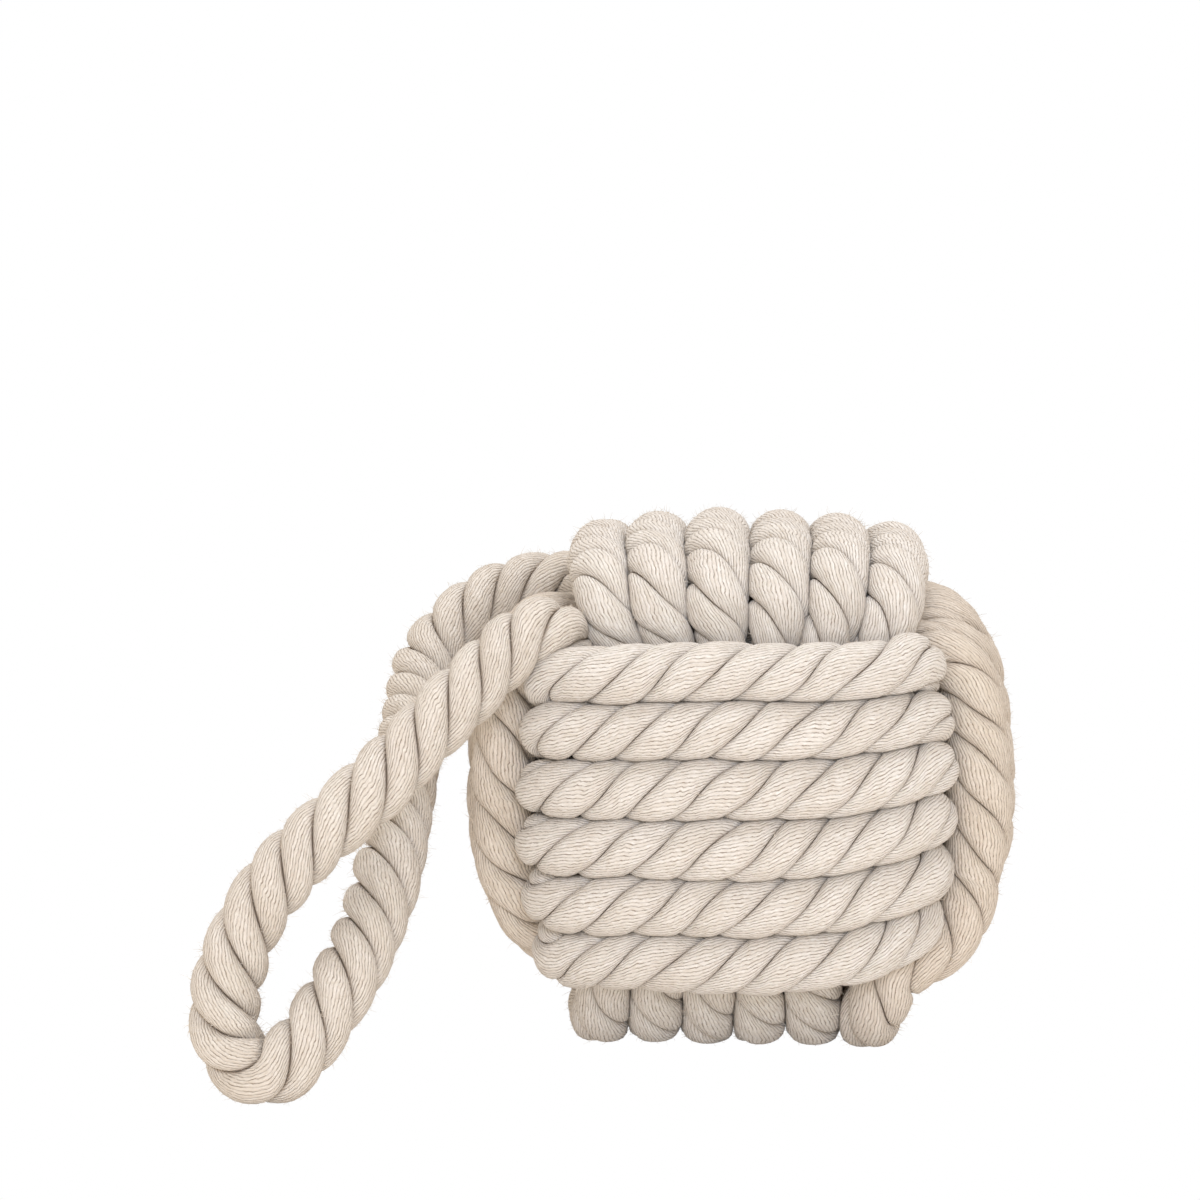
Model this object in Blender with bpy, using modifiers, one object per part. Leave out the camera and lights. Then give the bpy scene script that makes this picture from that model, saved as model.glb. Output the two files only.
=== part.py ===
# Rope knot doorstop: a monkey's fist tied round a sand bag, with a loop of the same rope as its handle.
# Metres, +Z up. The origin is on the floor, under the knot's centre.
# The front is -Y. Three windings lie over one another, each under the next and over the last:
# front_back shows on the front and back, sides on the left and right, top_bottom on the top and bottom.

import math

import bmesh
import bpy
import numpy as np
from mathutils import Vector

# The rope
ROPE_RADIUS = 0.00745           # a turn where it shows
HIDDEN_RADIUS = 0.0061          # a turn where another winding squeezes it
HANDLE_RADIUS = 0.0085          # the free loop, which nothing squeezes
TURNS = 6                       # in each winding
SHOWN_GAP = 0.0015              # between two turns where they show, before they are drawn in
HIDDEN_GAP = 0.0011             # between two turns where they are covered
LAYER_GAP = 0.00195             # between a covered pass and the pass over it
SIDE_ROOM = 0.0042              # slack round the covered band, left, right, front and back
TOP_ROOM = 0.00095              # and at the top and bottom, where the knot's own weight flattens it
ROUNDNESS = 0.45                # 0 leaves a cube, 1 makes a ball
NARROWING = 1.6                 # how fast a turn thins as it is drawn in
CORNER_SLACK = {"front_back": 0.00635, "sides": 0.00335, "top_bottom": 0.00635}
FLATNESS = {"front_back": 0.03, "sides": 0.024, "top_bottom": 0.07}   # outer turns of a face, pushed back out
STAND_CUT = 0.0024              # the turns are flat this deep where the knot stands on them
TOUCH = 0.0003                  # between two pieces that touch

# Where the rope passes from one winding to the next, round a corner of the knot
ENDS_EARLY = 0.5                # a winding ends this far before its corner, in corner radii
CROSSING_STRAIGHT = 0.008       # the first stretch of the next one, in line with it
CROSSING_LEAVES = 0.008         # how firmly the curve holds the way that it leaves in
CROSSING_ARRIVES = 0.025        # and the way that it arrives in
CROSSING_LANDS = 0.028          # how far in from the knot's edge it is on the next face
CROSSING_STEPS = 6

# The ballast, its bag and the twine round the bag's neck
CORE_GAP = 0.0020               # between the bag and the turns round it
CORE_ROUNDING = 0.030
BAG_WALL = 0.0008
SHOULDER = 0.0012               # from the bag's corner to its neck
NECK_RADIUS = 0.0030
NECK_LENGTH = 0.0030
GATHER_RADIUS = 0.0042
GATHER_LENGTH = 0.0015
TWINE_RADIUS = 0.0006

# Whippings of waxed twine on the rope's cut ends
WHIPPING_LENGTH = 0.004
WHIPPING_WALL = 0.0006
WHIPPED_RADIUS = 0.0037
START_TAIL = 0.0076
END_TAIL = 0.010

# The handle. Its legs leave the knot through the two pockets at the ends of the top left edge.
HINGE_INSET = (0.002, 0.003, 0.00125)    # the hinge points from the middles of the covered bands
ROUNDED_AT = (80, 60, 35)       # rings of a leg's rounded end, in degrees behind the hinge axis
ROOT_OUTER_RADIUS = 0.0070
ROOT_INNER_RADIUS = 0.0034
ROOT_NARROWS = 0.0110           # how far in from its face a root has narrowed
ROOT_LENGTH = 0.0198
ROOT_WHIPPING_LENGTH = 0.003
HANDLE_STEP = 0.0085            # between two points of the handle's tube

# The handle's route from the front pocket down to the floor and back up to the rear pocket, in X and Y
# from its leg's own hinge point and in Z from the floor. The tip counts as the front leg's.
FRONT_LEG = [
    (-0.0066, -0.0056, 0.1146), (-0.0136, -0.0108, 0.1094), (-0.0210, -0.0150, 0.1022),
    (-0.0298, -0.0200, 0.0938), (-0.0408, -0.0262, 0.0824), (-0.0520, -0.0305, 0.0722),
    (-0.0614, -0.0340, 0.0640), (-0.0698, -0.0370, 0.0548), (-0.0760, -0.0390, 0.0450),
    (-0.0800, -0.0410, 0.0350), (-0.0820, -0.0430, 0.0250),
]
LOOP_TIP = [
    (-0.0808, -0.0458, 0.0158), (-0.0758, -0.0490, 0.0103), (-0.0690, -0.0504, 0.0094),
    (-0.0618, -0.0488, 0.0150),
]
REAR_LEG = [
    (-0.0558, -0.1385, 0.0235), (-0.0500, -0.1295, 0.0329), (-0.0460, -0.1200, 0.0418),
    (-0.0434, -0.1105, 0.0506), (-0.0418, -0.0985, 0.0596), (-0.0412, -0.0800, 0.0697),
    (-0.0409, -0.0580, 0.0786), (-0.0409, -0.0375, 0.0863), (-0.0404, -0.0270, 0.0917),
    (-0.0384, -0.0190, 0.0972), (-0.0330, -0.0115, 0.1037), (-0.0255, -0.0065, 0.1095),
    (-0.0180, -0.0032, 0.1128), (-0.0100, -0.0010, 0.1148),
]

SIDES_OF_WINDING = 1            # bevel resolution of a turn, six sides
SIDES_OF_HANDLE = 4             # twelve sides
POINTS_PER_CORNER = 4
GAP_STEP = 0.002                # how finely a winding is measured for its least gap to itself
FLOOR_SIZE = 0.3                # the block that cuts the standing turns flat

# Worked out from the sizes above
SHOWN_PITCH = 2 * ROPE_RADIUS + SHOWN_GAP
HIDDEN_PITCH = 2 * HIDDEN_RADIUS + HIDDEN_GAP
STACK = ROPE_RADIUS + HIDDEN_RADIUS
HALF_TURNS = (TURNS - 1) / 2
INNER_SIDE = HALF_TURNS * HIDDEN_PITCH + STACK + SIDE_ROOM
INNER_TOP = HALF_TURNS * HIDDEN_PITCH + STACK + TOP_ROOM
INNER = (INNER_SIDE, INNER_SIDE, INNER_TOP)
OUTER = tuple(inner + STACK + LAYER_GAP for inner in INNER)
CENTRE_HEIGHT = OUTER[2] + ROPE_RADIUS - STAND_CUT

# The axes that each winding runs out along, across along and is stacked along
WINDING_AXES = {"front_back": (1, 0, 2), "sides": (0, 2, 1), "top_bottom": (2, 1, 0)}

COTTON = ("cotton_rope", (0.80, 0.74, 0.64), 0.92)
CALICO = ("calico", (0.78, 0.72, 0.60), 0.90)
SAND = ("sand", (0.62, 0.50, 0.34), 0.95)
TWINE = ("waxed_twine", (0.55, 0.45, 0.30), 0.70)


def clear_scene():
    for thing in list(bpy.data.objects):
        bpy.data.objects.remove(thing, do_unlink=True)


def collection(name):
    made = bpy.data.collections.new(name)
    bpy.context.scene.collection.children.link(made)
    return made


def material(finish):
    name, colour, roughness = finish
    found = bpy.data.materials.get(name)
    if found:
        return found
    made = bpy.data.materials.new(name)
    made.use_nodes = True
    shader = made.node_tree.nodes["Principled BSDF"]
    shader.inputs["Base Color"].default_value = (*colour, 1.0)
    shader.inputs["Roughness"].default_value = roughness
    shader.inputs["Metallic"].default_value = 0.0
    return made


# The knot's shape

def drawn_in(point, radius):
    """The cube of straight windings drawn in towards a ball, with its turns thinned to match."""
    point = np.asarray(point, dtype=float)
    flat = float((np.abs(point) ** 8).sum() ** (1 / 8))
    share = (flat / float(np.linalg.norm(point))) ** ROUNDNESS
    return point * share, radius * share ** NARROWING


def ease(share):
    return 0.5 - 0.5 * math.cos(math.pi * share)


def knot_point(name, out, across, place, shown):
    """A point of a winding, place in turns from the middle of the stack; shown is 1 outside, 0 under."""
    out_axis, across_axis, stack_axis = WINDING_AXES[name]
    point = [0.0, 0.0, 0.0]
    point[out_axis] = out * (1 + shown * FLATNESS[name] * (place / HALF_TURNS) ** 2)
    point[across_axis] = across
    point[stack_axis] = place * (HIDDEN_PITCH + (SHOWN_PITCH - HIDDEN_PITCH) * shown)
    radius = HIDDEN_RADIUS + (ROPE_RADIUS - HIDDEN_RADIUS) * shown
    return drawn_in(point, radius)


def corner(name, out_side, across_side, place, diving):
    """A quarter turn between a shown pass and a covered one."""
    out_axis, across_axis, _ = WINDING_AXES[name]
    bend = STACK + CORNER_SLACK[name]
    out_centre = out_side * (OUTER[out_axis] - bend)
    across_centre = across_side * (INNER[across_axis] - bend)
    points = []
    for step in range(POINTS_PER_CORNER + 1):
        share = step / POINTS_PER_CORNER
        if not diving:
            share = 1 - share
        angle = share * math.pi / 2
        points.append(knot_point(
            name,
            out_centre + out_side * bend * math.cos(angle),
            across_centre + across_side * bend * math.sin(angle),
            place,
            1 - ease(share)))
    return points


def turn(name, place):
    """One turn, from the middle of its first shown pass to the corner before the next one."""
    out_axis, across_axis, _ = WINDING_AXES[name]
    outer, inner = OUTER[out_axis], INNER[across_axis]
    points = [knot_point(name, -outer, 0, place, 1)]
    points += corner(name, -1, 1, place, True)
    points += [knot_point(name, 0, inner, place, 0)]
    points += corner(name, 1, 1, place, False)
    points += [knot_point(name, outer, 0, place, 1)]
    points += corner(name, 1, -1, place, True)
    points += [knot_point(name, 0, -inner, place - 0.5, 0)]
    points += corner(name, -1, -1, place - 1, False)
    return points


POINTS_TO_LAST_PASS = 2 * (POINTS_PER_CORNER + 1) + 3
POINTS_TO_DIVE = POINTS_TO_LAST_PASS + POINTS_PER_CORNER + 1


def turns(name, last_points):
    """All the turns of a winding, the last one cut short."""
    points = []
    for index in range(TURNS):
        whole = turn(name, HALF_TURNS - index)
        points += whole if index < TURNS - 1 else whole[:last_points]
    return points


def run_out(name):
    """Where a winding ends on its last shown pass, and the way that the rope runs there."""
    out_axis, across_axis, _ = WINDING_AXES[name]
    bend = STACK + CORNER_SLACK[name]
    outer = OUTER[out_axis]
    middle = knot_point(name, outer, 0, -HALF_TURNS, 1)[0]
    end, radius = knot_point(name, outer, -(INNER[across_axis] - bend * (1 + ENDS_EARLY)), -HALF_TURNS, 1)
    way = (end - middle) / np.linalg.norm(end - middle)
    return end, way, radius


def crossing(from_name, to_name):
    """The way from the end of one winding round a corner of the knot to the first pass of the next."""
    end, way, end_radius = run_out(from_name)
    end = end + way * TOUCH
    straight = end + way * CROSSING_STRAIGHT
    out_axis, across_axis, _ = WINDING_AXES[to_name]
    outer = OUTER[out_axis]
    first, first_radius = knot_point(to_name, -outer, -(INNER[across_axis] - CROSSING_LANDS), HALF_TURNS, 1)
    middle = knot_point(to_name, -outer, 0, HALF_TURNS, 1)[0]
    onward = (middle - first) / np.linalg.norm(middle - first)
    leaves, arrives = straight + way * CROSSING_LEAVES, first - onward * CROSSING_ARRIVES
    points = [(end, end_radius), (straight, end_radius)]
    for step in range(1, CROSSING_STEPS):
        t = step / CROSSING_STEPS
        place = ((1 - t) ** 3 * straight + 3 * t * (1 - t) ** 2 * leaves
                 + 3 * t * t * (1 - t) * arrives + t ** 3 * first)
        points.append((place, end_radius + (first_radius - end_radius) * t))
    return points + [(first, first_radius)]


def tail(name, side, length):
    """A cut end under the next winding, from the corner on that side, thinned where it is whipped."""
    out_axis, across_axis, _ = WINDING_AXES[name]
    bend = STACK + CORNER_SLACK[name]
    neck = length - WHIPPING_LENGTH - 2 * TOUCH
    points = []
    for along in (neck, length):
        out = side * (OUTER[out_axis] - bend - along)
        place, _ = knot_point(name, out, -INNER[across_axis], -side * HALF_TURNS, 0)
        points.append((place, WHIPPED_RADIUS))
    return points


def front_back_points():
    lead_in = corner("front_back", -1, -1, HALF_TURNS, False)
    start = tail("front_back", -1, START_TAIL)[::-1]
    end, _, radius = run_out("front_back")
    return start + lead_in + turns("front_back", POINTS_TO_LAST_PASS) + [(end, radius)]


def sides_points():
    end, _, radius = run_out("sides")
    return crossing("front_back", "sides") + turns("sides", POINTS_TO_LAST_PASS) + [(end, radius)]


def top_bottom_points():
    lead_in = crossing("sides", "top_bottom")
    return lead_in + turns("top_bottom", POINTS_TO_DIVE) + tail("top_bottom", 1, END_TAIL)


def least_gap(points):
    """The least gap between two stretches of one tube that lie over three diameters apart along it."""
    dense, radii = [], []
    for (a, radius_a), (b, radius_b) in zip(points, points[1:]):
        steps = max(1, int(np.linalg.norm(b - a) / GAP_STEP))
        for step in range(steps):
            dense.append(a + (b - a) * step / steps)
            radii.append(radius_a + (radius_b - radius_a) * step / steps)
    dense, radii = np.array(dense), np.array(radii)
    along = np.concatenate([[0], np.cumsum(np.linalg.norm(np.diff(dense, axis=0), axis=1))])
    gaps = np.linalg.norm(dense[:, None] - dense[None], axis=2) - radii[:, None] - radii[None]
    gaps[np.abs(along[:, None] - along[None]) < 3 * 2 * ROPE_RADIUS] = np.inf
    return float(gaps.min()), float(along[-1])


# Objects

def tube(name, points, finish, sides, parts):
    """A rope as a curve object with filled caps; its points are (place, radius)."""
    curve = bpy.data.curves.new(name, "CURVE")
    curve.dimensions = "3D"
    curve.bevel_depth = 1.0
    curve.bevel_resolution = sides
    curve.use_fill_caps = True
    spline = curve.splines.new("POLY")
    spline.points.add(len(points) - 1)
    for point, (place, radius) in zip(spline.points, points):
        point.co = (*place, 1.0)
        point.radius = radius
    made = bpy.data.objects.new(name, curve)
    made.data.materials.append(material(finish))
    parts.objects.link(made)
    return made


def mesh_of(tube_object):
    """The tube as a mesh object of the same name, with its caps welded."""
    name = tube_object.name
    owner = tube_object.users_collection[0]
    evaluated = tube_object.evaluated_get(bpy.context.evaluated_depsgraph_get())
    mesh = bpy.data.meshes.new_from_object(evaluated)
    welded = bmesh.new()
    welded.from_mesh(mesh)
    bmesh.ops.remove_doubles(welded, verts=welded.verts, dist=0.00001)
    bmesh.ops.recalc_face_normals(welded, faces=welded.faces)
    welded.to_mesh(mesh)
    welded.free()
    made_from = tube_object.matrix_world.copy()
    bpy.data.objects.remove(tube_object, do_unlink=True)
    made = bpy.data.objects.new(name, mesh)
    made.matrix_world = made_from
    owner.objects.link(made)
    return made


def windings(parts, cutters):
    lift = Vector((0, 0, CENTRE_HEIGHT))
    made = []
    for name, points in (("winding_front_back", front_back_points()),
                         ("winding_sides", sides_points()),
                         ("winding_top_bottom", top_bottom_points())):
        gap, length = least_gap(points)
        print(f"{name}: least gap to itself {gap * 1000:.2f} mm, length {length:.3f} m")
        rope = tube(name, points, COTTON, SIDES_OF_WINDING, parts)
        rope.location = lift
        made.append(rope)
    bpy.context.view_layer.update()
    standing = mesh_of(made[2])
    bpy.ops.mesh.primitive_cube_add(size=FLOOR_SIZE, location=(0, 0, -FLOOR_SIZE / 2))
    floor = bpy.context.active_object
    floor.name = "floor_cutter"
    floor.hide_render = True
    floor.display_type = "WIRE"
    for owner in floor.users_collection:
        owner.objects.unlink(floor)
    cutters.objects.link(floor)
    flat = standing.modifiers.new("stands_flat", "BOOLEAN")
    flat.operation = "DIFFERENCE"
    flat.solver = "EXACT"
    flat.object = floor
    return made


def whipping(name, near, far, radius, length, parts):
    """A ring of twine round a cut rope end, from its face back along the rope."""
    near, far = Vector(near), Vector(far)
    way = (far - near).normalized()
    bore = radius + TOUCH
    mesh = bpy.data.meshes.new(name)
    ring = bmesh.new()
    profile = [(bore, 0), (bore + WHIPPING_WALL, 0), (bore + WHIPPING_WALL, length), (bore, length)]
    verts = [ring.verts.new((r, 0, z)) for r, z in profile]
    edges = [ring.edges.new((verts[i], verts[(i + 1) % 4])) for i in range(4)]
    bmesh.ops.spin(ring, geom=verts + edges, cent=(0, 0, 0), axis=(0, 0, 1), dvec=(0, 0, 0),
                   angle=math.tau, steps=16, use_merge=True, use_duplicate=False)
    bmesh.ops.remove_doubles(ring, verts=ring.verts, dist=0.00001)
    bmesh.ops.recalc_face_normals(ring, faces=ring.faces)
    ring.to_mesh(mesh)
    ring.free()
    made = bpy.data.objects.new(name, mesh)
    made.data.materials.append(material(TWINE))
    made.location = far - way * (length + TOUCH)
    made.rotation_euler = way.to_track_quat("Z", "Y").to_euler()
    parts.objects.link(made)
    return made


def whippings(parts):
    lift = np.array([0, 0, CENTRE_HEIGHT])
    start = front_back_points()[:2][::-1]
    end = top_bottom_points()[-2:]
    for name, (near, far) in (("start_whipping", start), ("tail_whipping", end)):
        whipping(name, near[0] + lift, far[0] + lift, far[1], WHIPPING_LENGTH, parts)


# The handle

def hinge(side):
    x, y, z = (inner - inset for inner, inset in zip(INNER, HINGE_INSET))
    return Vector((-x, side * y, CENTRE_HEIGHT + z))


def smooth_route(points, step):
    """Places every step or so along a smooth curve through the points."""
    points = [Vector(p) for p in points]
    points = [points[0] * 2 - points[1]] + points + [points[-1] * 2 - points[-2]]
    fine = []
    for p0, p1, p2, p3 in zip(points, points[1:], points[2:], points[3:]):
        for index in range(20):
            t = index / 20
            fine.append(0.5 * (2 * p1 + (p2 - p0) * t + (2 * p0 - 5 * p1 + 4 * p2 - p3) * t * t
                               + (3 * p1 - p0 - 3 * p2 + p3) * t ** 3))
    fine.append(points[-2])
    along = [0.0]
    for a, b in zip(fine, fine[1:]):
        along.append(along[-1] + (b - a).length)
    count = round(along[-1] / step)
    places, index = [], 0
    for number in range(count + 1):
        want = along[-1] * number / count
        while index < len(fine) - 2 and along[index + 1] < want:
            index += 1
        share = (want - along[index]) / (along[index + 1] - along[index])
        places.append(fine[index].lerp(fine[index + 1], share))
    return places, along[-1]


def rounded_end(place, onward):
    """A half ball's rings on the hinge axis, so the rope turns there without cutting into its root."""
    way = (onward - place).normalized()
    rings = []
    for angle in ROUNDED_AT:
        behind = math.sin(math.radians(angle)) * HANDLE_RADIUS
        rings.append((place - way * behind, math.cos(math.radians(angle)) * HANDLE_RADIUS))
    return rings


def handle(parts):
    front, rear = hinge(-1), hinge(1)
    route = [(front.x + x, front.y + y, z) for x, y, z in FRONT_LEG + LOOP_TIP]
    route += [(rear.x + x, rear.y + y, z) for x, y, z in REAR_LEG]
    places, length = smooth_route([front] + route + [rear], HANDLE_STEP)
    print(f"handle_loop: length {length:.3f} m from pocket to pocket")
    axis = bpy.data.objects.new("handle_axis", None)
    axis.location = front
    parts.objects.link(axis)
    points = [(place - front, HANDLE_RADIUS) for place in places]
    points = (rounded_end(points[0][0], points[1][0]) + points
              + rounded_end(points[-1][0], points[-2][0])[::-1])
    loop = tube("handle_loop", points, COTTON, SIDES_OF_HANDLE, parts)
    loop.parent = axis
    for side, name in ((-1, "front"), (1, "rear")):
        handle_root(side, name, parts)


def handle_root(side, name, parts):
    """A handle end tucked into its pocket, narrow where three turns squeeze it, with its whipping."""
    place = hinge(side)
    inward = Vector((1, -side, -1)).normalized()
    outer = place + inward * (HANDLE_RADIUS + TOUCH)
    profile = [(0.0, ROOT_OUTER_RADIUS),
               (ROOT_NARROWS / 2, (ROOT_OUTER_RADIUS + ROOT_INNER_RADIUS) / 2),
               (ROOT_NARROWS, ROOT_INNER_RADIUS),
               (ROOT_LENGTH, ROOT_INNER_RADIUS)]
    points = [(outer + inward * along, radius) for along, radius in profile]
    tube(f"handle_root_{name}", points, COTTON, SIDES_OF_HANDLE, parts)
    whipping(f"handle_whipping_{name}", points[-2][0], points[-1][0], ROOT_INNER_RADIUS,
             ROOT_WHIPPING_LENGTH, parts)


# The ballast

def core_half():
    """Half the size of the space that the covered passes leave, along X, Y and Z."""
    return [inner - HIDDEN_RADIUS - CORE_GAP for inner in INNER]


def rounded_block(shrink):
    """A block with rounded edges as a bmesh, smaller than the core's space by shrink all round."""
    block = bmesh.new()
    bmesh.ops.create_cube(block, size=2.0)
    bmesh.ops.scale(block, vec=[half - shrink for half in core_half()], verts=block.verts)
    bmesh.ops.bevel(block, geom=block.edges[:], offset=CORE_ROUNDING - shrink, offset_type="OFFSET",
                    segments=4, profile=0.5, affect="EDGES", clamp_overlap=True, material=-1)
    return block


def from_bmesh(name, built, finish, parts):
    mesh = bpy.data.meshes.new(name)
    built.to_mesh(mesh)
    built.free()
    mesh.shade_smooth()
    made = bpy.data.objects.new(name, mesh)
    made.data.materials.append(material(finish))
    made.location = (0, 0, CENTRE_HEIGHT)
    parts.objects.link(made)
    return made


def ballast(parts):
    from_bmesh("ballast_sand", rounded_block(BAG_WALL + TOUCH), SAND, parts)
    bag = rounded_block(0.0)
    toward = Vector((1, 1, 1)).normalized()
    bag.verts.ensure_lookup_table()
    tip = max(bag.verts, key=lambda vert: vert.co.dot(toward))
    bmesh.ops.delete(bag, geom=list(tip.link_faces), context="FACES")
    mouth = [edge for edge in bag.edges if edge.is_boundary]
    neck = SHOULDER + max(vert.co.dot(toward) for edge in mouth for vert in edge.verts)
    for radius, height in ((NECK_RADIUS, neck), (NECK_RADIUS, neck + NECK_LENGTH),
                           (GATHER_RADIUS, neck + NECK_LENGTH + GATHER_LENGTH)):
        grown = bmesh.ops.extrude_edge_only(bag, edges=mouth)["geom"]
        mouth = [item for item in grown if isinstance(item, bmesh.types.BMEdge)]
        for vert in {vert for edge in mouth for vert in edge.verts}:
            flat = vert.co - toward * vert.co.dot(toward)
            vert.co = toward * height + flat.normalized() * radius
    bmesh.ops.recalc_face_normals(bag, faces=bag.faces)
    outermost = max(bag.faces, key=lambda face: face.calc_center_median().x)
    if outermost.normal.x < 0:
        bmesh.ops.reverse_faces(bag, faces=bag.faces)
    made = from_bmesh("ballast_bag", bag, CALICO, parts)
    wall = made.modifiers.new("cloth", "SOLIDIFY")
    wall.thickness = BAG_WALL
    wall.offset = -1.0
    bpy.ops.mesh.primitive_torus_add(
        major_radius=NECK_RADIUS + TWINE_RADIUS + TOUCH, minor_radius=TWINE_RADIUS,
        major_segments=16, minor_segments=8,
        location=Vector((0, 0, CENTRE_HEIGHT)) + toward * (neck + NECK_LENGTH / 2),
        rotation=toward.to_track_quat("Z", "Y").to_euler())
    tie = bpy.context.active_object
    tie.name = tie.data.name = "bag_tie"
    tie.data.materials.append(material(TWINE))
    for owner in tie.users_collection:
        owner.objects.unlink(tie)
    parts.objects.link(tie)


def main():
    clear_scene()
    parts = collection("rope_knot_doorstop")
    cutters = collection("cutters")
    windings(parts, cutters)
    whippings(parts)
    handle(parts)
    ballast(parts)


main()
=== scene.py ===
# Looks of the rope knot doorstop: three-strand cotton rope, its yarns and stray fibres, and the studio.
# Metres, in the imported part's frame. The knot's path repeats the part's own formulas.

import math

import bmesh
import bpy
import numpy as np
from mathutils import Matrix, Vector, noise


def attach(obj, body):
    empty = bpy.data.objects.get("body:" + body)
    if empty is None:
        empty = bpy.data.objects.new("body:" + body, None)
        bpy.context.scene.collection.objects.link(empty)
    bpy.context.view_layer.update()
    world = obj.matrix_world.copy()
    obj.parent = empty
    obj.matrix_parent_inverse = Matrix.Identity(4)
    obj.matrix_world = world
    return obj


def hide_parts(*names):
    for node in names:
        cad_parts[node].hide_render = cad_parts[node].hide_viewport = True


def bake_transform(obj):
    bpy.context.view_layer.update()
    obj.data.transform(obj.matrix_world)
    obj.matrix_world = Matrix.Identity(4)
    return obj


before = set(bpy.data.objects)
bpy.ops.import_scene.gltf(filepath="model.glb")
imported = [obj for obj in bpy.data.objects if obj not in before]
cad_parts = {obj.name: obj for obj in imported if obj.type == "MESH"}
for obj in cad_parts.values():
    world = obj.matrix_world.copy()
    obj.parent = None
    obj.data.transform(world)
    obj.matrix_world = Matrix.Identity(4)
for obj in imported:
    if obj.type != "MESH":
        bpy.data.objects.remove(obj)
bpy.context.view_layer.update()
print("frame loaded")


# The knot's path

knot = {
    "turns": 6,
    "ropeRadius": 0.00745,
    "hiddenRadius": 0.0061,
    "shownPitch": 0.0164,
    "hiddenPitch": 0.0133,
    "inner": (0.051, 0.051, 0.04775),       # how far covered passes lie from the middle
    "outer": (0.0665, 0.0665, 0.06325),     # and shown ones
    "roundness": 0.45,                      # 0 leaves the turns a box, 1 makes them a ball
    "boxPower": 8,
    "cornerSlack": {"frontBack": 0.00635, "sides": 0.00335, "topBottom": 0.00635},
    "flatness": {"frontBack": 0.03, "sides": 0.024, "topBottom": 0.07},
    "endsEarly": 0.5,
    "cutMargin": 0.001,
    "crossingStraight": 0.008,
    "crossingLeaves": 0.008,
    "crossingArrives": 0.025,
    "crossingLands": 0.028,
    "crossingPoints": 6,
    "startTail": 0.0076,
    "endTail": 0.010,
    "softened": 9,                          # samples that are averaged to take kinks out
    "centreHeight": 0.0683,
}

# How the pictured knot departs from that even path. Rows are the front's, from the top down, and lifts
# are those of their left and right ends. Columns run from the right to the left. A fade is where a
# departure starts, measured from the knot's middle, and the length over which it grows to its full size.
drawn = {
    "squareness": {"frontBack": 2.8, "sides": 2.0, "topBottom": 2.3, "bottom": 1.9},
    "fullUntil": {"frontBack": 0.5, "sides": 0.4, "topBottom": 0.5},
    "plumpLeft": (0.0100, 0.0092, 0.0098, 0.0096, 0.0088, 0.0070),
    "plumpRight": (0.0058, 0.0072, 0.0074, 0.0074, 0.0070, 0.0062),
    "plumpLate": 1.6,           # the power that moves the plumpest place towards the covered pass
    "rightShoulder": (0.0050, 0.0050, 0.0048, 0.0044, 0.0032, 0.0012),
    "leftShoulder": (0.0, 0.0010, 0.0022, 0.0024, 0.0016, 0.0),     # the side strands' tops, from the back
    "shoulderLate": 1.2,
    "rows": (0.0, 0.0, 0.0003, 0.0012, 0.0014, 0.0004),
    "leftEnds": (0.0008, 0.0004, -0.0012, -0.0028, -0.0040, -0.0046),
    "rightEnds": (0.0050, 0.0042, 0.0048, 0.0042, 0.0036, 0.0034),
    "endsPower": 2.5,
    "faceFade": (0.028, 0.018),
    "topColumns": (0.0034, 0.0029, 0.0026, 0.0016, 0.0003, 0.0003),
    "topRise": (-0.0030, -0.0004, 0.0, 0.0006, 0.0, -0.0024),
    "topSpread": 0.015,         # how much wider the top's columns stay towards the front
    "spreadFade": (0.02, 0.03),
    "bottomColumns": (-0.0030, -0.0030, -0.0030, 0.0, 0.0, 0.0),
    "bottomLift": 0.0020,       # how far the bottom's columns leave the floor at the front
    "bottomFade": (0.028, 0.02),
    "lowSides": 0.0030,         # how far the side strands' lower ends are drawn in
    "lowFade": (0.016, 0.018),
    "foremostSides": {"swell": 0.09, "inward": 0.0006},
    "underFront": [
        (0.0585, -0.0385, -0.0320), (0.0535, -0.0400, -0.0380), (0.0468, -0.0430, -0.0408),
        (0.0405, -0.0450, -0.0450), (0.0366, -0.0430, -0.0530), (0.0350, -0.0340, -0.0595),
    ],
}

# A winding's axes: out to its shown passes, along them, and the one on which its turns are stacked
windingAxes = {"frontBack": (1, 0, 2), "sides": (0, 2, 1), "topBottom": (2, 1, 0)}
halfTurns = (knot["turns"] - 1) / 2
layerApart = knot["ropeRadius"] + knot["hiddenRadius"]


def drawnIn(point):
    power = knot["boxPower"]
    flat = float((np.abs(point) ** power).sum() ** (1 / power))
    return (flat / float(np.linalg.norm(point))) ** knot["roundness"]


def eased(share):
    share = min(max(share, 0.0), 1.0)
    return share * share * (3 - 2 * share)


def faded(distance, fade):
    start, length = drawn[fade]
    return eased((distance - start) / length)


def rowValue(values, place):
    return float(np.interp(halfTurns - place, range(knot["turns"]), values))


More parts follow.
